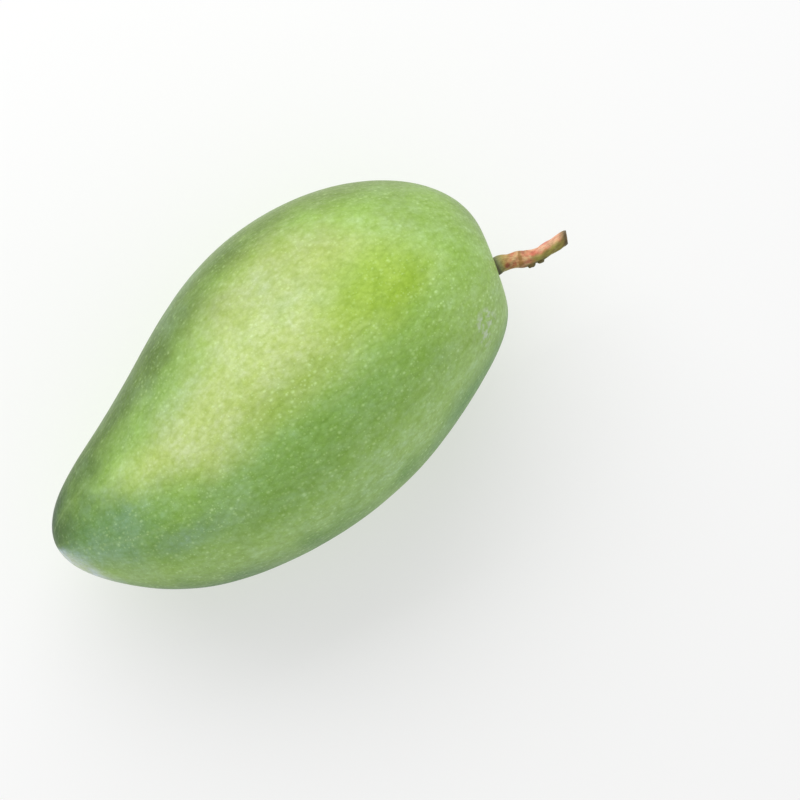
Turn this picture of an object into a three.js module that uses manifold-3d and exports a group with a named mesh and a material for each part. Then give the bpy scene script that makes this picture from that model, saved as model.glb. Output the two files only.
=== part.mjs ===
// A whole unripe mango with the cut end of its twig, lying on one cheek.
// Millimetres, +Z up. +X runs from the apex to the stem, and +Y is the ventral side, where the
// edge dips in towards the apex. The origin is on the ground, under the middle of the whole.
import * as THREE from "three";
import { ParametricGeometry } from "three/addons/geometries/ParametricGeometry.js";
import { mergeVertices } from "three/addons/utils/BufferGeometryUtils.js";
import Module from "manifold-3d";

const wasm = await Module();
wasm.setup();

// The edge of the fruit seen broadside, as x, y at equal steps of the loft angle
const STEM_SEAT = [128.6, 0];
const VENTRAL_EDGE = [
  [129, 16], [118, 31], [96.5, 40], [71, 40],
  [47, 30.8], [26.5, 20], [9.5, 11.5],
];
const APEX = [-0.2, -0.5];
const DORSAL_EDGE = [
  [122.5, -13.5], [107, -23.5], [87, -31.5], [63.5, -35],
  [39.5, -33], [19.5, -25.3], [6, -14],
];

// The fruit from cheek to cheek
const THICKNESS = 67;
const BLUNT_END = 0.16; // how much fuller the cheeks are at the stem than at the apex
const FULL_CORNERS = 0.025; // how far the section stands outside an ellipse, between its axes
const DORSAL_FULLNESS = 0.035; // how far the cheeks' high line leans to the dorsal side

// The hollow round the stem
const DIMPLE_DEPTH = 1.8;
const DIMPLE_ANGLE = 0.2; // loft angle at which the hollow has eased off

// The twig: a lathed profile, bent along the line that it grew on
const ROOT_X = 124.2;
const TWIG_LENGTH = 22;
const TWIG_PROFILE = [
  // distance from the root, radius
  [0, 0], [0, 1.9], [2.2, 2.1], [4.5, 2.15], [5.8, 2.05], [6.8, 1.88],
  [7.8, 1.92], [8.8, 2.12], [9.8, 2.14], [10.8, 2.06], [11.8, 1.84], [12.8, 1.72],
  [15.4, 1.66], [18, 1.68], [20.2, 1.78], [21.4, 1.76], [22, 1.55], [22, 0.95], [21.5, 0.6], [21.5, 0],
];
const BEND_REACH = [3.9, 14.6]; // where along the twig its sideways bend starts and ends
const BEND_SHIFT = -3.1;
const TIP_RISE = 1.6;
const CUT_SLANT = 0.42; // the cut leans this much along for each unit across
const SLANT_REACH = 5; // how far back from the tip the slant is felt
const BARK_RIDGES = 5;
const BARK_RELIEF = 0.045; // as a share of the radius
const BARK_TWIST = 1.6; // radians for each unit along
// The scars of two side stalks, as distance along, how far below the line, and radii
const SCARS = [
  { along: 11.7, out: 1.55, radii: [0.95, 1.15, 0.8] },
  { along: 13.7, out: 1.45, radii: [0.8, 0.85, 0.75] },
];
const SOCKET_GAP = 0.3; // between the twig and the fruit

// How it lies, in radians, with its weight over the flat spot
const REST_ROLL = -0.0452;
const REST_PITCH = -0.0828;
const FLAT_DEPTH = 0.5; // how much the ground flattens the lower cheek
const GROUND_SIDE = 400;

// Facets
const ROUND_THE_FRUIT = 72;
const ALONG_THE_FRUIT = 48;
const ROUND_THE_TWIG = 28;
const SCAR_FACETS = [14, 10];
const TINY = 1e-9;

const SKIN = new THREE.MeshStandardMaterial({ color: 0x8fb35c, roughness: 0.45, metalness: 0 });
const BARK = new THREE.MeshStandardMaterial({ color: 0xa9764f, roughness: 0.8, metalness: 0 });

const EDGE = [STEM_SEAT, ...VENTRAL_EDGE, APEX, ...DORSAL_EDGE.toReversed()];

// The smoothest closed wave through the points of the edge, at an angle in radians
function edgeAt(angle) {
  const count = EDGE.length;
  const at = new THREE.Vector2();
  EDGE.forEach(([x, y], i) => {
    const turn = angle - (2 * Math.PI * i) / count;
    const half = Math.tan(turn / 2);
    const weight = Math.abs(half) < TINY ? 1 : Math.sin((count * turn) / 2) / (count * half);
    at.x += x * weight;
    at.y += y * weight;
  });
  return at;
}

// Half of the thickness at a loft angle: 0 at the stem and at the apex
function halfThickness(angle) {
  return (THICKNESS / 2) * Math.sin(angle) * (1 + BLUNT_END * Math.cos(angle));
}

// The skin: each rib joins the two edges at one loft angle and swells to both cheeks.
function fruitPoint(round, along, target) {
  const angle = Math.PI * along;
  const turn = -2 * Math.PI * (round % 1);
  const ventral = edgeAt(angle);
  const dorsal = edgeAt(-angle);
  const full = 1 + FULL_CORNERS * Math.sin(angle) * Math.sin(2 * turn) ** 2;
  const lean = DORSAL_FULLNESS * Math.sin(angle) * Math.sin(turn) ** 2;
  const share = (1 + Math.cos(turn) * full - lean) / 2;
  const dimple = DIMPLE_DEPTH * Math.exp(-((angle / DIMPLE_ANGLE) ** 2));
  const at = dorsal.lerp(ventral, share);
  target.set(at.x - dimple, at.y, halfThickness(angle) * Math.sin(turn) * full);
}

// A point of the twig's middle line, at a distance from its root
function twigLine(distance) {
  return new THREE.Vector3(
    ROOT_X + distance,
    BEND_SHIFT * THREE.MathUtils.smoothstep(distance, ...BEND_REACH),
    TIP_RISE * (distance / TWIG_LENGTH) ** 2,
  );
}

// The frame of the twig's line: across is level and over is upward.
function twigFrame(distance) {
  const step = 0.05;
  const ahead = twigLine(distance + step).sub(twigLine(distance - step)).normalize();
  const across = new THREE.Vector3(0, 0, 1).cross(ahead).normalize();
  return { across, over: ahead.cross(across) };
}

// The twig, or with a gap the room that it needs in the fruit
function twigGeometry(gap = 0) {
  const profile = TWIG_PROFILE.toReversed().map(
    ([along, radius]) => new THREE.Vector2(radius > 0 ? radius + gap : 0, along > 0 ? along : -gap),
  );
  const geometry = new THREE.LatheGeometry(profile, ROUND_THE_TWIG);
  const position = geometry.getAttribute("position");
  const point = new THREE.Vector3();
  for (let i = 0; i < position.count; i += 1) {
    point.fromBufferAttribute(position, i);
    const turn = Math.atan2(point.z, point.x);
    const relief = 1 + BARK_RELIEF * Math.sin(BARK_RIDGES * turn + BARK_TWIST * point.y);
    const slant = THREE.MathUtils.smoothstep(point.y, TWIG_LENGTH - SLANT_REACH, TWIG_LENGTH);
    const distance = point.y + slant * CUT_SLANT * point.x;
    const { across, over } = twigFrame(distance);
    const at = twigLine(distance)
      .addScaledVector(across, point.x * relief)
      .addScaledVector(over, point.z * relief);
    position.setXYZ(i, at.x, at.y, at.z);
  }
  return geometry;
}

// The scar that a side stalk left under the twig
function scarGeometry({ along, out, radii }) {
  const at = twigLine(along).addScaledVector(twigFrame(along).across, -out);
  return new THREE.SphereGeometry(1, ...SCAR_FACETS).scale(...radii).translate(at.x, at.y, at.z);
}

function toSolid(geometry) {
  geometry.deleteAttribute("normal");
  geometry.deleteAttribute("uv");
  const merged = mergeVertices(geometry);
  return new wasm.Manifold(
    new wasm.Mesh({
      numProp: 3,
      vertProperties: merged.getAttribute("position").array,
      triVerts: new Uint32Array(merged.index.array),
    }),
  );
}

function toMesh(solid, material, name) {
  const { vertProperties, triVerts } = solid.getMesh();
  const geometry = new THREE.BufferGeometry();
  geometry.setAttribute("position", new THREE.BufferAttribute(vertProperties, 3));
  geometry.setIndex(new THREE.BufferAttribute(triVerts, 1));
  geometry.computeVertexNormals();
  const mesh = new THREE.Mesh(geometry, material);
  mesh.name = name;
  return mesh;
}

const lying = new THREE.Matrix4().makeRotationFromEuler(new THREE.Euler(REST_ROLL, REST_PITCH, 0));

// Everything under a height
function groundBlock(height) {
  const block = new THREE.BoxGeometry(GROUND_SIDE, GROUND_SIDE, GROUND_SIDE);
  return toSolid(block.translate(0, 0, height - GROUND_SIDE / 2));
}

function makeFruit() {
  const skin = new ParametricGeometry(fruitPoint, ROUND_THE_FRUIT, ALONG_THE_FRUIT);
  skin.applyMatrix4(lying).computeBoundingBox();
  const socket = toSolid(twigGeometry(SOCKET_GAP).applyMatrix4(lying));
  const ground = groundBlock(skin.boundingBox.min.z + FLAT_DEPTH);
  return toMesh(toSolid(skin).subtract(socket).subtract(ground), SKIN, "fruit");
}

function makeStem() {
  const pieces = [twigGeometry(), ...SCARS.map(scarGeometry)];
  const solids = pieces.map((piece) => toSolid(piece.applyMatrix4(lying)));
  return toMesh(wasm.Manifold.union(solids), BARK, "stem");
}

const mango = new THREE.Group();
mango.add(makeFruit(), makeStem());
const extent = new THREE.Box3().setFromObject(mango, true);
const middle = extent.getCenter(new THREE.Vector3());
mango.position.set(-middle.x, -middle.y, -extent.min.z);

export default mango;
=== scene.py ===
import math
import bpy
import numpy as np
from mathutils import Matrix, Vector, noise


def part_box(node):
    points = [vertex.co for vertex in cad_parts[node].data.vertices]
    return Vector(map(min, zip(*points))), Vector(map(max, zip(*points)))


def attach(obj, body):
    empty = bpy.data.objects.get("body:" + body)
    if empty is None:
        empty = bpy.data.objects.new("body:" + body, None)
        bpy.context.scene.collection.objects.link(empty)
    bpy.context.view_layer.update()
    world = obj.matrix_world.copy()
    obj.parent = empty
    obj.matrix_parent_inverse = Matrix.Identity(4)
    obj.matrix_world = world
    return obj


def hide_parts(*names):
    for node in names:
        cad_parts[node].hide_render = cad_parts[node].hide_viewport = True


# A whole unripe mango with the cut end of its twig, lying on one cheek.
# The fruit's own frame is in millimetres: +X runs from the apex to the stem, +Y is the ventral
# side and +Z the upper cheek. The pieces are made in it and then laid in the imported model's frame.

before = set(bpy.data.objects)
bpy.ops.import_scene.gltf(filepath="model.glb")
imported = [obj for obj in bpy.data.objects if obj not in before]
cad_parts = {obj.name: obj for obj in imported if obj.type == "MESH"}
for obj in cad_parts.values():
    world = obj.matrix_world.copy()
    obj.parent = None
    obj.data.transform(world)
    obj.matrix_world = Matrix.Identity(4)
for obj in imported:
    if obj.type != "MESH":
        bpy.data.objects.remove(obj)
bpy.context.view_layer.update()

MM = 0.001
TINY = 1e-9

# The edge of the fruit seen broadside, as x, y at equal steps of the loft angle
STEM_SEAT = (128.6, 0)
VENTRAL_EDGE = ((129, 16), (118, 31), (96.5, 40), (71, 40), (47, 30.8), (26.5, 20), (9.5, 11.5))
APEX = (-0.2, -0.5)
DORSAL_EDGE = (
    (122.5, -13.5), (107, -23.5), (87, -31.5), (63.5, -35), (39.5, -33), (19.5, -25.3), (6, -14),
)
EDGE = np.array([STEM_SEAT, *VENTRAL_EDGE, APEX, *reversed(DORSAL_EDGE)], float)

# The fruit from cheek to cheek
THICKNESS = 67
BLUNT_END = 0.16
FULL_CORNERS = 0.025
DORSAL_FULLNESS = 0.035
DIMPLE_DEPTH = 1.8
DIMPLE_ANGLE = 0.2

# The crease where the twig enters
CREASE_DEPTH = 1.4
CREASE_RADII = (2.3, 3.3)

# Low unevenness of the skin, as size across and height
SKIN_SWELLS = ((26, 0.2), (9, 0.07), (3.5, 0.018))

# The skin's colours, as a screen shows them
BASE_GREENS = ((152, 192, 90), (162, 200, 104))
STREAK_GREEN = (178, 204, 132)
BLOOM_GREY = (172, 200, 168)
DOT_GREEN = (198, 228, 156)
SCUFF_GREY = (206, 220, 196)

# Patches of the skin's colour, some of them painted shade along the edges and at the apex and one a
# painted highlight band: the centre as loft angle and the turn's cosine and sine, how far each
# reaches those ways, its strength and its colour
SKIN_PATCHES_AND_PAINTED_LIGHT = (
    ((1.4, -0.78, 0.6), (1.1, 0.4, 0.7), 0.75, (178, 218, 128)),
    ((0.65, -0.35, 0.85), (0.35, 0.28, 0.5), 0.3, (190, 224, 148)),
    ((1.75, -0.38, 0.9), (1.2, 0.42, 0.6), 0.8, (132, 174, 88)),
    # painted shade along the ventral edge
    ((1.7, 1.1, 0.2), (2.1, 0.7, 1.1), 0.85, (98, 120, 42)),
    ((1.4, 0.55, 0.8), (0.6, 0.4, 0.6), 0.7, (176, 188, 118)),
    # a painted highlight band along the upper cheek, partly the skin's paler yellow-green
    ((1.68, 0.18, 0.95), (1.05, 0.47, 0.6), 0.95, (191, 210, 128)),
    ((2.0, 0.5, 0.88), (0.36, 0.26, 0.5), 0.35, (132, 164, 98)),
    ((1.55, -0.03, 1.0), (0.36, 0.2, 0.5), 0.4, (142, 174, 64)),
    ((1.15, 0.5, 0.9), (0.3, 0.16, 0.5), 0.35, (158, 182, 40)),
    ((1.03, 0.19, 0.95), (0.36, 0.38, 0.6), 0.75, (150, 188, 20)),
    ((2.3, -0.1, 0.95), (0.36, 0.34, 0.6), 0.45, (122, 166, 122)),
    ((2.22, -0.44, 0.88), (0.3, 0.18, 0.5), 0.4, (130, 164, 140)),
    ((2.66, -0.15, 0.9), (0.5, 0.7, 0.8), 0.8, (100, 147, 98)),
    ((2.52, 0.66, 0.75), (0.3, 0.26, 0.5), 0.4, (92, 126, 34)),
    # painted shade along the ventral edge towards the apex
    ((2.3, 1.0, 0.4), (1.1, 0.64, 0.9), 0.9, (74, 106, 4)),
    ((1.9, 1.0, 0.0), (1.0, 0.3, 0.5), 0.3, (142, 166, 122)),
    # painted shade at the apex, which faces away from the light
    ((3.1, 0.45, 0.6), (0.75, 1.3, 1.3), 0.95, (48, 86, 18)),
    ((2.99, 1.0, 0.3), (0.3, 0.75, 0.9), 0.8, (8, 58, 4)),
    ((0.2, 0.9, 0.4), (0.5, 0.6, 0.8), 0.5, (100, 140, 0)),
    ((0.5, 0.7, 0.7), (0.6, 0.5, 0.8), 0.5, (142, 172, 92)),
    # painted shade along the dorsal edge, where the fruit meets the ground
    ((0.6, -1.1, 0.0), (0.95, 0.46, 0.95), 0.85, (70, 136, 12)),
    ((2.1, -1.1, 0.0), (1.0, 0.46, 0.95), 0.95, (56, 114, 10)),
    ((1.35, -1.1, 0.0), (0.9, 0.46, 0.95), 0.6, (84, 146, 14)),
    ((2.85, -0.45, 0.7), (0.36, 0.5, 0.7), 0.65, (146, 178, 172)),
    ((3.0, -0.8, 0.5), (0.4, 0.85, 0.9), 0.9, (216, 227, 220)),
)
# How far the patches' borders wander, and the share of its reach over which a patch fades
PATCH_WARP = 0.8
PATCH_FADE = (0.25, 1.05)

# Mottles of the skin, as size across in millimetres, strength and seed
MOTTLES = ((20, 0.2, 5.8), (12, 0.3, 2.1), (5.5, 0.42, 4.6), (2.4, 0.46, 7.3), (1.3, 0.22, 3.9))
# What paler and deeper places do to red, green and blue, in the mottles and in the finer grit
MOTTLE_TINTS = ((1.12, 1.08, 1.42, 1), (0.87, 0.91, 0.6, 1))
GRIT_TINTS = ((1.075, 1.065, 1.14, 1), (0.95, 0.955, 0.9, 1))
# What pale dots do to red, green and blue, and the painted shade in the low places between pebbles
DOT_TINT = (1.2, 1.18, 1.3, 1)
LOW_PLACE_SHADE = (0.91, 0.925, 0.84, 1)
# Pale dots, as the size of a cell that holds one, the largest dot's radius and strength, then the
# smallest dot's share of the largest, and the share of its radius over which a dot fades
LARGE_DOTS = (1.15, 0.66, 0.6)
SMALL_DOTS = (0.7, 0.38, 0.5)
SMALLEST_DOT = 0.2
DOT_FADE = (0.05, 1.0)
# How strong the dots are across the fruit and along it: where the change starts and ends, as the
# turn's cosine and as loft angle, and the strength there
DOTS_ACROSS = (-0.2, 0.5, 1.5, 0.85)
DOTS_ALONG = (2.0, 2.8, 1, 0.6)
# Scuffs in the bloom: the centre of their place and how far it reaches, as for the patches
SCUFFED = ((0.6, -0.62, 0.8), (0.14, 0.26, 0.4))
# Stretches that draw a pattern out along the fruit, by millimetres and by loft angle and turn
LENGTHWISE = (0.85, 1, 1)
PEBBLE_STRETCH = (0.85, 1.03, 1.07)
PEBBLES_PER_MM = 0.75
STREAK_STRETCH = (1.2, 11, 11)
GRIT_STRETCH = (22, 23, 23)
# How far the dots, pebbles and grit stand out, in millimetres
SKIN_RELIEF = 0.045
# The skin's gloss: roughness from smooth to bloomed places, then its waxy coat
SKIN_ROUGHNESS = (0.42, 0.58)
SKIN_SPECULAR = 0.32
WAX = 0.12
WAX_ROUGHNESS = 0.34

# The twig, in millimetres
ROOT_X = 124.2
TWIG_LENGTH = 22
# The twig's side and its cut end, as distance from the root and radius
TWIG_GIRTH = (
    (0, 1.9), (2.2, 2.1), (4.5, 2.15), (5.8, 2.05), (6.8, 1.88), (7.8, 1.92), (8.8, 2.12), (9.8, 2.14),
    (10.8, 2.06), (11.8, 1.84), (12.8, 1.72), (15.4, 1.66), (18, 1.68), (20.2, 1.78), (21.3, 1.72),
    (22, 1.5),
)
TWIG_CUT = (
    (21.98, 1.4), (21.9, 1.3), (21.84, 1.2), (21.8, 0.8), (21.65, 0.66), (21.3, 0.5), (21.2, 0.2),
)
# The line that it grew on: where its sideways bend starts and ends, how far it goes, and its rise
BEND_REACH = (3.9, 14.6)
BEND_SHIFT = -3.1
TIP_RISE = 1.6
# The cut leans this much along for each unit across, felt this far back from the tip.
CUT_SLANT = 0.42
SLANT_REACH = 5
# The bark's ridges, their height as a share of the radius and their twist, its swells, as size and
# height, how far they are drawn out along the twig, its fine furrows and its roughness
BARK_RIDGES = 5
BARK_RELIEF = 0.045
BARK_TWIST = 1.6
BARK_SWELLS = ((2.2, 0.1), (0.8, 0.05), (0.3, 0.02))
BARK_STRETCH = 0.35
FURROW_DEPTH = 0.06
FURROW_STRETCH = (0.35, 1.7, 1.7)
BARK_ROUGHNESS = (0.75, 0.55)
# The bark's colours, as a screen shows them
BARK_RED = (212, 136, 100)
BARK_BUFF = (216, 176, 126)
BARK_CRIMSON = (200, 84, 62)
BARK_OLIVE = (146, 146, 62)
BARK_PEACH = (240, 182, 152)
NODE_BROWN = (158, 112, 52)
SCAR_BROWN = (100, 92, 44)
FURROW_BROWN = (100, 64, 38)
PITH = (92, 70, 44)
WOOD = (206, 184, 138)
CUT_EDGE = (110, 84, 46)
# Bands of the bark's colour: where each starts and ends along the twig, its strength there and its
# colour. The first ones have uneven borders.
UNEVEN_BANDS = (((5.4, 8.0), (0.85, 0), (176, 166, 88)), ((4.2, 5.8), (0.95, 0), (138, 148, 104)))
EVEN_BANDS = (
    # painted shade at the root, where the twig sinks into the crease of the skin
    ((3.6, 4.6), (0.8, 0), (84, 84, 60)),
    ((19.6, 21.2), (0, 0.8), (124, 104, 52)),
    ((20.9, 21.7), (0, 0.85), (76, 70, 44)),
)
NODE_AT = 9.7
NODE_REACH = (0.2, 0.8)
# Where the olive of the dorsal side and the peach of the ventral side begin
BEYOND_BEND = (11, 13.5)
# Patches of the bark's colour: the centre as distance along and the turn's cosine and sine, how far
# each reaches those ways, its strength and its colour
BARK_PATCHES = (
    ((6.3, -0.45, 0.7), (1.2, 0.6, 0.8), 0.85, (152, 62, 40)),
    ((10.2, 0.8, 0.6), (1.2, 0.45, 0.8), 0.7, (150, 80, 60)),
    ((13.0, 0.45, 0.8), (1.6, 0.6, 0.8), 0.75, (206, 88, 66)),
    ((16.5, 1.0, 0.2), (2.4, 0.4, 0.9), 0.6, (214, 116, 112)),
    ((13.2, -1.0, 0.2), (3.8, 0.45, 0.9), 0.75, (88, 96, 36)),
)
# The scars of side stalks, on the dorsal side: distance along, distance from the twig's line, and
# radii along, out and round
SCARS = ((11.7, 1.55, (0.95, 1.15, 0.8)), (13.7, 1.45, (0.8, 0.85, 0.75)))
# The cup in each scar: its depth, how soon it rises, and where the scar's colour fades
SCAR_CUP = 0.3
CUP_REACH = 0.12
SCAR_EDGE = (0.7, 1.5)

# How the fruit lies, in radians, and how softly the ground flattens its skin
REST_ROLL = -0.0452
REST_PITCH = -0.0828
GROUND_EASE = 0.3
LYING = Matrix.Rotation(REST_ROLL, 3, "X") @ Matrix.Rotation(REST_PITCH, 3, "Y")

# Fineness of the meshes, how many rings to each side ease a corner of the twig's girth, and the step
# that finds the direction of its line
RINGS = 250
SECTORS = 372
POLE_CROWDING = 0.55
TWIG_RINGS = 300
TWIG_SECTORS = 132
EASED_RINGS = 4
LINE_STEP = 0.05

# The photograph's view: the camera looks square at the upper cheek. The fruit's own +X is tilted up
# from the picture's right, and AIM is the point of the fruit's frame at the picture's middle.
PHOTO_WIDTH = 800
PIXELS_PER_MM = 4.07
AXIS_TILT = math.radians(32.27)
AIM = (90.3, -15.1, 0)
LENS = 110
SENSOR = 36

# The light: a softbox aimed at the fruit's middle, tilted from the camera's line and turned from the
# photograph's right, with its distance and sizes in metres, and a white world. The floor glows
# slightly, to be as pale as the photograph's ground.
MIDDLE = (65, 0, 0)
KEY_TILT = math.radians(46)
KEY_TURN = math.radians(112)
KEY_DISTANCE = 1.1
KEY_SIZES = (1.5, 0.7)
KEY_RADIANCE = 3.1
WORLD_STRENGTH = 0.55
FLOOR_REACH = 3.0
FLOOR_GREY = 0.52
FLOOR_GLOW = 0.46


def smoothstep(x, low, high):
    share = np.clip((x - low) / (high - low), 0, 1)
    return share * share * (3 - 2 * share)


# Meshes of rings round a line


def closed_mesh(name, grid, start, end):
    """A smooth mesh of rings of points between two poles."""
    rings, sectors = grid.shape[:2]
    points = np.concatenate([grid.reshape(-1, 3), [start], [end]])
    first, last = rings * sectors, rings * sectors + 1
    here = np.arange(sectors)
    there = (here + 1) % sectors
    step = np.arange(rings - 1)[:, None] * sectors
    corners = [step + here, step + sectors + here, step + sectors + there, step + there]
    quads = np.stack(corners, axis=-1).reshape(-1, 4).tolist()
    near_fan = [(first, a, b) for a, b in zip(here.tolist(), there.tolist())]
    tail = (rings - 1) * sectors
    far_fan = [(last, tail + b, tail + a) for a, b in zip(here.tolist(), there.tolist())]
    mesh = bpy.data.meshes.new(name)
    mesh.from_pydata(points.tolist(), [], quads + near_fan + far_fan)
    mesh.polygons.foreach_set("use_smooth", np.ones(len(mesh.polygons), bool))
    mesh.update()
    return mesh


def read_vectors(items, field):
    values = np.empty(len(items) * 3, np.float32)
    items.foreach_get(field, values)
    return values.reshape(-1, 3).astype(float)


def set_points(mesh, points):
    mesh.vertices.foreach_set("co", points.astype(np.float32).ravel())
    mesh.update()


def store_vectors(mesh, name, vectors):
    attribute = mesh.attributes.new(name, "FLOAT_VECTOR", "POINT")
    attribute.data.foreach_set("vector", vectors.astype(np.float32).ravel())


def swell_height(points, swells):
    """The height of low unevenness at each point, from swells of several sizes."""
    height = np.zeros(len(points))
    for size, tall in swells:
        height += tall * np.array([noise.noise(Vector(p)) for p in points / size])
    return height


def lay(points, place):
    """Points of the fruit's frame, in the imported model's frame, still in millimetres."""
    return points @ np.array(LYING).T + place


def add_piece(name, mesh, node, material):
    piece = bpy.data.objects.new(name, mesh)
    bpy.context.scene.collection.objects.link(piece)
    mesh.materials.append(material)
    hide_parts(node)
    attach(piece, "root")
    return piece


# The fruit


def edge_at(angle):
    """The smoothest closed wave through the points of the edge, at angles in radians."""
    count = len(EDGE)
    turn = angle[:, None] - 2 * math.pi * np.arange(count) / count
    half = np.tan(turn / 2)
    at_point = np.abs(half) < TINY
    weight = np.where(at_point, 1, np.sin(count * turn / 2) / np.where(at_point, 1, count * half))
    return weight @ EDGE


def skin_points(angle, turn):
    """The skin at each loft angle and each turn round its rib."""
    ventral = edge_at(angle)[:, None]
    dorsal = edge_at(-angle)[:, None]
    swell = np.sin(angle)[:, None]
    full = 1 + FULL_CORNERS * swell * np.sin(2 * turn) ** 2
    lean = DORSAL_FULLNESS * swell * np.sin(turn) ** 2
    share = (1 + np.cos(turn) * full - lean) / 2
    across = dorsal + (ventral - dorsal) * share[..., None]
    half_thickness = THICKNESS / 2 * swell * (1 + BLUNT_END * np.cos(angle)[:, None])
    up = half_thickness * np.sin(turn) * full
    dimple = DIMPLE_DEPTH * np.exp(-((angle[:, None] / DIMPLE_ANGLE) ** 2))
    return np.stack([across[..., 0] - dimple, across[..., 1], up], axis=-1)


def crease_depth(points):
    """How far the skin is sunk round the twig."""
    radius = np.hypot(points[:, 1], points[:, 2])
    depth = CREASE_DEPTH * (1 - smoothstep(radius, *CREASE_RADII))
    return np.where(points[:, 0] > ROOT_X, depth, 0)


def make_fruit_mesh():
    """The skin, and where the fruit frame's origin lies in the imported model, in millimetres."""
    share = np.arange(RINGS + 1) / RINGS
    angle = math.pi * (share - POLE_CROWDING * np.sin(2 * math.pi * share) / (2 * math.pi))
    turn = 2 * math.pi * np.arange(SECTORS) / SECTORS
    grid = skin_points(angle, turn)
    mesh = closed_mesh("mango_skin", grid[1:-1], grid[0, 0], grid[-1, 0])
    points = read_vectors(mesh.vertices, "co")
    store_vectors(mesh, "place", points)
    along = np.append(np.repeat(angle[1:-1], SECTORS), [angle[0], angle[-1]])
    round_it = np.append(np.tile(turn, RINGS - 1), [0, 0])
    store_vectors(mesh, "grain", np.stack([along, np.cos(round_it), np.sin(round_it)], axis=-1))

    lying = lay(points, 0)
    low, high = (np.array(corner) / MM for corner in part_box("fruit"))
    place = (low + high) / 2 - (lying.min(axis=0) + lying.max(axis=0)) / 2
    place[2] = high[2] - lying[:, 2].max()

    points += read_vectors(mesh.vertices, "normal") * swell_height(points, SKIN_SWELLS)[:, None]
    points[:, 0] -= crease_depth(points)
    points = lay(points, place)
    points[:, 2] = (points[:, 2] + np.hypot(points[:, 2], GROUND_EASE)) / 2
    points[:, 2] -= points[:, 2].min()
    set_points(mesh, points * MM)
    return mesh, place


# The twig


def twig_line(distance):
    """Points of the twig's middle line, at distances from its root."""
    bend = BEND_SHIFT * smoothstep(distance, *BEND_REACH)
    rise = TIP_RISE * (distance / TWIG_LENGTH) ** 2
    return np.stack([ROOT_X + distance, bend, rise], axis=-1)


def twig_frame(distance):
    """The directions across, which is level, and over, which is upward, along the line."""
    ahead = twig_line(distance + LINE_STEP) - twig_line(distance - LINE_STEP)
    ahead /= np.linalg.norm(ahead, axis=-1, keepdims=True)
    across = np.cross((0, 0, 1), ahead)
    across /= np.linalg.norm(across, axis=-1, keepdims=True)
    return across, np.cross(ahead, across)


def scar_rise(along, turn, radius):
    """How far the scars of the side stalks stand out of the bark, and 1 where they are."""
    rise = np.zeros_like(radius)
    shown = np.zeros_like(radius)
    for at, out, (length, depth, width) in SCARS:
        aside = radius * np.arctan2(np.sin(turn - math.pi), np.cos(turn - math.pi))
        reach = ((along - at) / length) ** 2 + (aside / width) ** 2
        cap = out + depth * np.sqrt(np.clip(1 - reach, 0, 1)) - radius
        cup = SCAR_CUP * np.exp(-reach / CUP_REACH)
        rise = np.maximum(rise, np.where(reach < 1, cap - cup, 0))
        shown = np.maximum(shown, 1 - smoothstep(reach, *SCAR_EDGE))
    return rise, shown


def twig_outline():
    """For each ring of the twig, its distance along, its radius, and 1 if it is on the cut end."""
    side = np.array(TWIG_GIRTH, float)
    cut = np.array(TWIG_CUT, float)
    along = np.linspace(0, TWIG_LENGTH, TWIG_RINGS)
    padded = np.pad(np.interp(along, side[:, 0], side[:, 1]), EASED_RINGS, mode="edge")
    window = 2 * EASED_RINGS + 1
    radius = np.convolve(padded, np.ones(window) / window, mode="valid")
    on_end = np.append(np.zeros(TWIG_RINGS), np.ones(len(cut)))
    return np.append(along, cut[:, 0]), np.append(radius, cut[:, 1]), on_end


def make_twig_mesh(place):
    along, radius, on_end = twig_outline()
    turn = 2 * math.pi * np.arange(TWIG_SECTORS) / TWIG_SECTORS
    along, turn = np.meshgrid(along, turn, indexing="ij")
    radius = np.broadcast_to(radius[:, None], along.shape)
    on_end = np.broadcast_to(on_end[:, None], along.shape)
    rise, scarred = scar_rise(along, turn, radius)
    ridges = 1 + BARK_RELIEF * np.sin(BARK_RIDGES * turn + BARK_TWIST * along)
    local = np.stack([along * BARK_STRETCH, radius * np.cos(turn), radius * np.sin(turn)], axis=-1)
    rough = swell_height(local.reshape(-1, 3), BARK_SWELLS).reshape(along.shape)
    out = (radius + rise) * ridges + rough * (1 - on_end)

    slant = smoothstep(along, TWIG_LENGTH - SLANT_REACH, TWIG_LENGTH)
    distance = along + slant * CUT_SLANT * out * np.cos(turn)
    across, over = twig_frame(distance)
    grid = twig_line(distance)
    grid += across * (out * np.cos(turn))[..., None] + over * (out * np.sin(turn))[..., None]

    tip = grid[-1].mean(axis=0)
    mesh = closed_mesh("mango_twig", grid, twig_line(np.array(0.0)), tip)
    bark = np.stack([along, np.cos(turn), np.sin(turn)], axis=-1).reshape(-1, 3)
    marks = np.stack([scarred, on_end, radius], axis=-1).reshape(-1, 3)
    store_vectors(mesh, "bark", np.concatenate([bark, [(0, 0, 0), (TWIG_LENGTH, 0, 0)]]))
    store_vectors(mesh, "marks", np.concatenate([marks, [(0, 0, 0), (0, 1, 0)]]))
    set_points(mesh, lay(read_vectors(mesh.vertices, "co"), place) * MM)
    return mesh


# Materials


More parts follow.
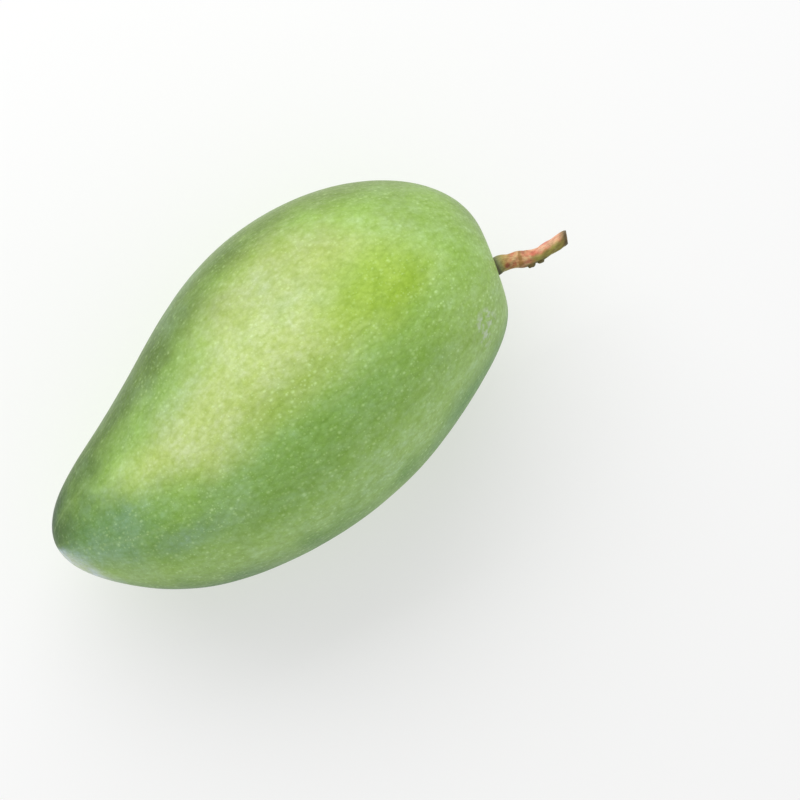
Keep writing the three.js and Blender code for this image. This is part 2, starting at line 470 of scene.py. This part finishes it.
class Finish:
    """A material, with short calls for its nodes."""

    def __init__(self, name):
        self.material = bpy.data.materials.new(name)
        self.material.use_nodes = True
        self.nodes = self.material.node_tree.nodes
        self.shader = self.nodes["Principled BSDF"]

    def feed(self, socket, value):
        if isinstance(value, bpy.types.NodeSocket):
            self.material.node_tree.links.new(value, socket)
        else:
            socket.default_value = value

    def set(self, name, value):
        self.feed(self.shader.inputs[name], value)

    def node(self, kind, inputs, **settings):
        made = self.nodes.new("ShaderNode" + kind)
        for name, value in settings.items():
            setattr(made, name, value)
        for key, value in inputs.items():
            self.feed(made.inputs[key], value)
        return made

    def stored(self, name):
        return self.node("Attribute", {}, attribute_name=name).outputs["Vector"]

    def part(self, vector, axis):
        return self.node("SeparateXYZ", {0: vector}).outputs[axis]

    def math(self, operation, a, b=0.0):
        return self.node("Math", {0: a, 1: b}, operation=operation).outputs[0]

    def stretch(self, vector, scale):
        return self.node("VectorMath", {0: vector, 1: scale}, operation="MULTIPLY").outputs[0]

    def noise(self, vector, size, seed, detail=2.0, roughness=0.5):
        """Noise from 0 to 1 with features of a size, different for each seed."""
        inputs = {"Vector": vector, "W": seed, "Scale": 1 / size, "Detail": detail, "Roughness": roughness}
        return self.node("TexNoise", inputs, noise_dimensions="4D").outputs["Fac"]

    def ramp(self, value, low, high, start=0.0, end=1.0):
        """From start to end as value goes from low to high, smoothly."""
        inputs = {"Value": value, "From Min": low, "From Max": high, "To Min": start, "To Max": end}
        return self.node("MapRange", inputs, interpolation_type="SMOOTHSTEP").outputs["Result"]

    def mix(self, share, a, b, blend="MIX"):
        """Colour b over colour a, by a share."""
        made = self.node("Mix", {0: share, 6: a, 7: b}, data_type="RGBA", blend_type=blend)
        return made.outputs[2]

    def spot(self, vector, centre, radii, warp):
        """1 at a centre, fading to 0 at an ellipsoid whose edge is warped."""
        away = self.node("VectorMath", {0: vector, 1: centre}, operation="SUBTRACT").outputs[0]
        shares = self.stretch(away, tuple(1 / r for r in radii))
        reach = self.node("VectorMath", {0: shares}, operation="LENGTH").outputs["Value"]
        return self.ramp(self.math("ADD", reach, warp), *PATCH_FADE, 1, 0)

    def dots(self, vector, cell, largest):
        """Small round dots of many sizes, at most so large, one to a cell at most."""
        cells = self.node("TexVoronoi", {"Vector": vector, "Scale": 1 / cell, "Randomness": 1.0})
        reach = self.math("MULTIPLY", cells.outputs["Distance"], cell)
        chance = self.part(cells.outputs["Color"], 0)
        size = self.ramp(self.math("MULTIPLY", chance, chance), 0, 1, largest * SMALLEST_DOT, largest)
        return self.ramp(self.math("DIVIDE", reach, size), *DOT_FADE, 1, 0)

    def bump(self, height, depth):
        self.set("Normal", self.node("Bump", {"Height": height, "Distance": depth}).outputs["Normal"])


def colour(red, green, blue):
    """A colour given as a screen shows it, from 0 to 255, as a shader wants it."""
    shares = (channel / 255 for channel in (red, green, blue))
    return (*(s / 12.92 if s <= 0.04045 else ((s + 0.055) / 1.055) ** 2.4 for s in shares), 1)


def patched(finish, tone, place, warp, patches):
    """The tone with patches of other colours over it."""
    for centre, radii, strength, shade in patches:
        share = finish.math("MULTIPLY", finish.spot(place, centre, radii, warp), strength)
        tone = finish.mix(share, tone, colour(*shade))
    return tone


def tinted(finish, tone, pattern, spread, tints, strength=1.0):
    """The tone, tinted one way where a pattern is low and the other way where it is high."""
    tint = finish.mix(finish.ramp(pattern, 0.5 - spread, 0.5 + spread), *tints)
    return finish.mix(strength, tone, tint, "MULTIPLY")


def skin_dots(skin, place, lengthwise, grain):
    """Pale dots: stronger on the dorsal side and weaker towards the apex, and uneven by chance."""
    strength = skin.ramp(skin.noise(place, 15, 9.4, detail=2), 0.35, 0.65, 0.6, 1)
    strength = skin.math("MULTIPLY", strength, skin.ramp(skin.part(grain, 1), *DOTS_ACROSS))
    strength = skin.math("MULTIPLY", strength, skin.ramp(skin.part(grain, 0), *DOTS_ALONG))
    large = skin.math("MULTIPLY", skin.dots(lengthwise, *LARGE_DOTS[:2]), LARGE_DOTS[2])
    small = skin.math("MULTIPLY", skin.dots(place, *SMALL_DOTS[:2]), SMALL_DOTS[2])
    return skin.math("MULTIPLY", skin.math("MAXIMUM", large, small), strength)


def make_skin():
    skin = Finish("mango_skin")
    place = skin.stored("place")
    grain = skin.stored("grain")
    lengthwise = skin.stretch(place, LENGTHWISE)

    # broad greens and the patches over them, with painted shade at the edges and apex and a painted
    # highlight
    broad = skin.noise(place, 34, 1.3, detail=3)
    tone = skin.mix(skin.ramp(broad, 0.35, 0.65), *(colour(*green) for green in BASE_GREENS))
    wander = skin.math("SUBTRACT", skin.noise(place, 12, 3.7, detail=4), 0.5)
    warp = skin.math("MULTIPLY", wander, PATCH_WARP)
    tone = patched(skin, tone, grain, warp, SKIN_PATCHES_AND_PAINTED_LIGHT)

    # paler and deeper mottling, coarse to fine
    for size, strength, seed in MOTTLES:
        mottle = skin.noise(lengthwise, size, seed, detail=3, roughness=0.6)
        tone = tinted(skin, tone, mottle, 0.16, MOTTLE_TINTS, strength)

    # streaks that run from the stem to the apex
    streaks = skin.noise(skin.stretch(grain, STREAK_STRETCH), 1, 5.2, detail=4, roughness=0.6)
    tone = skin.mix(skin.ramp(streaks, 0.5, 0.75, 0, 0.2), tone, colour(*STREAK_GREEN))

    # bloom
    bloom = skin.ramp(skin.noise(place, 16, 6.4, detail=4, roughness=0.6), 0.48, 0.75, 0, 0.25)
    tone = skin.mix(bloom, tone, colour(*BLOOM_GREY))

    # pale dots
    dots = skin_dots(skin, place, lengthwise, grain)
    tone = skin.mix(skin.math("MULTIPLY", dots, 0.5), tone, colour(*DOT_GREEN))
    tone = skin.mix(dots, tone, DOT_TINT, "MULTIPLY")

    # pebbles, and painted shade in the low places between them
    spread = skin.stretch(place, PEBBLE_STRETCH)
    pebbles = skin.node("TexVoronoi", {"Vector": spread, "Scale": PEBBLES_PER_MM})
    low = skin.ramp(pebbles.outputs["Distance"], 0.25, 0.85)
    tone = skin.mix(low, tone, LOW_PLACE_SHADE, "MULTIPLY")

    # scuffs in the bloom
    scuffed = skin.spot(grain, *SCUFFED, warp)
    scuffs = skin.math("MULTIPLY", skin.ramp(skin.noise(place, 1.8, 2.7), 0.44, 0.64), scuffed)
    tone = skin.mix(skin.math("MULTIPLY", scuffs, 0.7), tone, colour(*SCUFF_GREY))

    # grit, coarse and fine, that runs along the fruit
    coarse = skin.noise(skin.stretch(grain, GRIT_STRETCH), 1, 9.9, detail=3)
    fine = skin.noise(lengthwise, 0.7, 8.5, detail=3, roughness=0.6)
    for grit in (coarse, fine):
        tone = tinted(skin, tone, grit, 0.2, GRIT_TINTS)

    skin.set("Base Color", tone)
    skin.set("Roughness", skin.ramp(skin.math("ADD", bloom, fine), 0.3, 1.0, *SKIN_ROUGHNESS))
    skin.set("Specular IOR Level", SKIN_SPECULAR)
    skin.set("Coat Weight", WAX)
    skin.set("Coat Roughness", WAX_ROUGHNESS)
    height = skin.math("SUBTRACT", skin.math("ADD", skin.math("ADD", dots, fine), coarse), low)
    skin.bump(height, SKIN_RELIEF * MM)
    return skin.material


def cut_wood(bark, radius):
    """The twig's cut end: dark pith, pale wood and a darker edge."""
    wood = bark.mix(bark.ramp(radius, 0.55, 0.8), colour(*PITH), colour(*WOOD))
    return bark.mix(bark.ramp(radius, 1.2, 1.4), wood, colour(*CUT_EDGE))


def banded(finish, tone, along, bands):
    """The tone with bands of other colours across it."""
    for ends, strengths, shade in bands:
        tone = finish.mix(finish.ramp(along, *ends, *strengths), tone, colour(*shade))
    return tone


def make_bark():
    bark = Finish("twig_bark")
    place = bark.stored("bark")
    marks = bark.stored("marks")
    along = bark.part(place, 0)
    ventral = bark.part(place, 1)
    scarred = bark.part(marks, 0)
    on_end = bark.part(marks, 1)
    radius = bark.part(marks, 2)

    # uneven borders between the colours
    wander = bark.math("MULTIPLY", bark.math("SUBTRACT", bark.noise(place, 1.4, 1.1), 0.5), 3.0)
    reach = bark.math("ADD", along, wander)
    side = bark.math("ADD", ventral, bark.math("MULTIPLY", wander, 0.25))
    warp = bark.math("MULTIPLY", wander, 0.2)
    beyond_bend = bark.ramp(along, *BEYOND_BEND)

    # red and buff, and beyond the bend olive dorsally and peach ventrally
    blotches = bark.noise(bark.stretch(place, (0.8, 1.4, 1.4)), 1.1, 2.3, detail=3)
    tone = bark.mix(bark.ramp(blotches, 0.4, 0.6), colour(*BARK_RED), colour(*BARK_BUFF))
    crimson = bark.noise(place, 1.2, 4.9, detail=2)
    tone = bark.mix(bark.ramp(crimson, 0.54, 0.68, 0, 0.45), tone, colour(*BARK_CRIMSON))
    olive = bark.math("MULTIPLY", bark.ramp(side, -0.4, 0.3, 0.9, 0), beyond_bend)
    tone = bark.mix(olive, tone, colour(*BARK_OLIVE))
    peach = bark.math("MULTIPLY", bark.ramp(side, 0.0, 0.7, 0, 0.75), beyond_bend)
    tone = bark.mix(peach, tone, colour(*BARK_PEACH))

    # the root with painted shade where it enters the fruit, patches, the node, the tip, the scars and the
    # cut end
    tone = banded(bark, tone, reach, UNEVEN_BANDS)
    tone = patched(bark, tone, place, warp, BARK_PATCHES)
    from_node = bark.math("ABSOLUTE", bark.math("SUBTRACT", reach, NODE_AT))
    tone = bark.mix(bark.ramp(from_node, *NODE_REACH, 0.85, 0), tone, colour(*NODE_BROWN))
    tone = banded(bark, tone, along, EVEN_BANDS)
    tone = bark.mix(bark.math("MULTIPLY", scarred, 0.85), tone, colour(*SCAR_BROWN))
    tone = bark.mix(on_end, tone, cut_wood(bark, radius))

    # fine furrows
    fine = bark.noise(bark.stretch(place, FURROW_STRETCH), 0.35, 7.7, detail=4, roughness=0.65)
    tone = bark.mix(bark.ramp(fine, 0.35, 0.6, 0.35, 0), tone, colour(*FURROW_BROWN))

    bark.set("Base Color", tone)
    bark.set("Roughness", bark.ramp(fine, 0.3, 0.7, *BARK_ROUGHNESS))
    bark.bump(fine, FURROW_DEPTH * MM)
    return bark.material


# The stage, the camera and the lights


def make_floor():
    far = FLOOR_REACH
    corners = [(-far, -far, 0), (far, -far, 0), (far, far, 0), (-far, far, 0)]
    mesh = bpy.data.meshes.new("floor")
    mesh.from_pydata(corners, [], [(0, 1, 2, 3)])
    floor = bpy.data.objects.new("floor", mesh)
    bpy.context.scene.collection.objects.link(floor)
    paper = Finish("floor")
    paper.set("Base Color", (FLOOR_GREY, FLOOR_GREY, FLOOR_GREY, 1))
    paper.set("Emission Color", (1, 1, 1, 1))
    paper.set("Emission Strength", FLOOR_GLOW)
    paper.set("Roughness", 0.9)
    paper.set("Specular IOR Level", 0.0)
    mesh.materials.append(paper.material)


def view_axes():
    """The photograph's directions to the right, upward and towards the camera."""
    cosine, sine = math.cos(AXIS_TILT), math.sin(AXIS_TILT)
    right = LYING @ Vector((cosine, -sine, 0))
    upward = LYING @ Vector((sine, cosine, 0))
    return right, upward, LYING @ Vector((0, 0, 1))


def make_camera(place):
    right, upward, back = view_axes()
    distance = LENS / SENSOR * PHOTO_WIDTH / PIXELS_PER_MM
    at = (LYING @ Vector(AIM) + Vector(place) + back * distance) * MM
    data = bpy.data.cameras.new("camera")
    data.lens = LENS
    data.sensor_width = SENSOR
    data.clip_start = 0.01
    camera = bpy.data.objects.new("camera", data)
    camera.matrix_world = Matrix.Translation(at) @ Matrix((right, upward, back)).transposed().to_4x4()
    bpy.context.scene.collection.objects.link(camera)
    bpy.context.scene.camera = camera


def make_softbox(name, place):
    """A soft light over the fruit, whose long side runs along it."""
    right, upward, back = view_axes()
    aside = right * math.cos(KEY_TURN) + upward * math.sin(KEY_TURN)
    towards = back * math.cos(KEY_TILT) + aside * math.sin(KEY_TILT)
    short = towards.cross(LYING @ Vector((1, 0, 0))).normalized()
    long = short.cross(towards)
    data = bpy.data.lights.new(name, "AREA")
    data.shape = "RECTANGLE"
    data.size, data.size_y = KEY_SIZES
    data.energy = KEY_RADIANCE * math.pi * KEY_SIZES[0] * KEY_SIZES[1]
    middle = (LYING @ Vector(MIDDLE) + Vector(place)) * MM
    light = bpy.data.objects.new(name, data)
    at = Matrix.Translation(middle + towards * KEY_DISTANCE)
    light.matrix_world = at @ Matrix((long, short, towards)).transposed().to_4x4()
    bpy.context.scene.collection.objects.link(light)


def make_world():
    world = bpy.data.worlds.new("studio")
    world.use_nodes = True
    background = world.node_tree.nodes["Background"]
    background.inputs["Color"].default_value = (1, 1, 1, 1)
    background.inputs["Strength"].default_value = WORLD_STRENGTH
    bpy.context.scene.world = world


bpy.context.scene.view_settings.view_transform = "Standard"
fruit_mesh, fruit_place = make_fruit_mesh()
add_piece("mango_fruit", fruit_mesh, "fruit", make_skin())
add_piece("mango_stem", make_twig_mesh(fruit_place), "stem", make_bark())
make_floor()
make_camera(fruit_place)
make_softbox("key", fruit_place)
make_world()
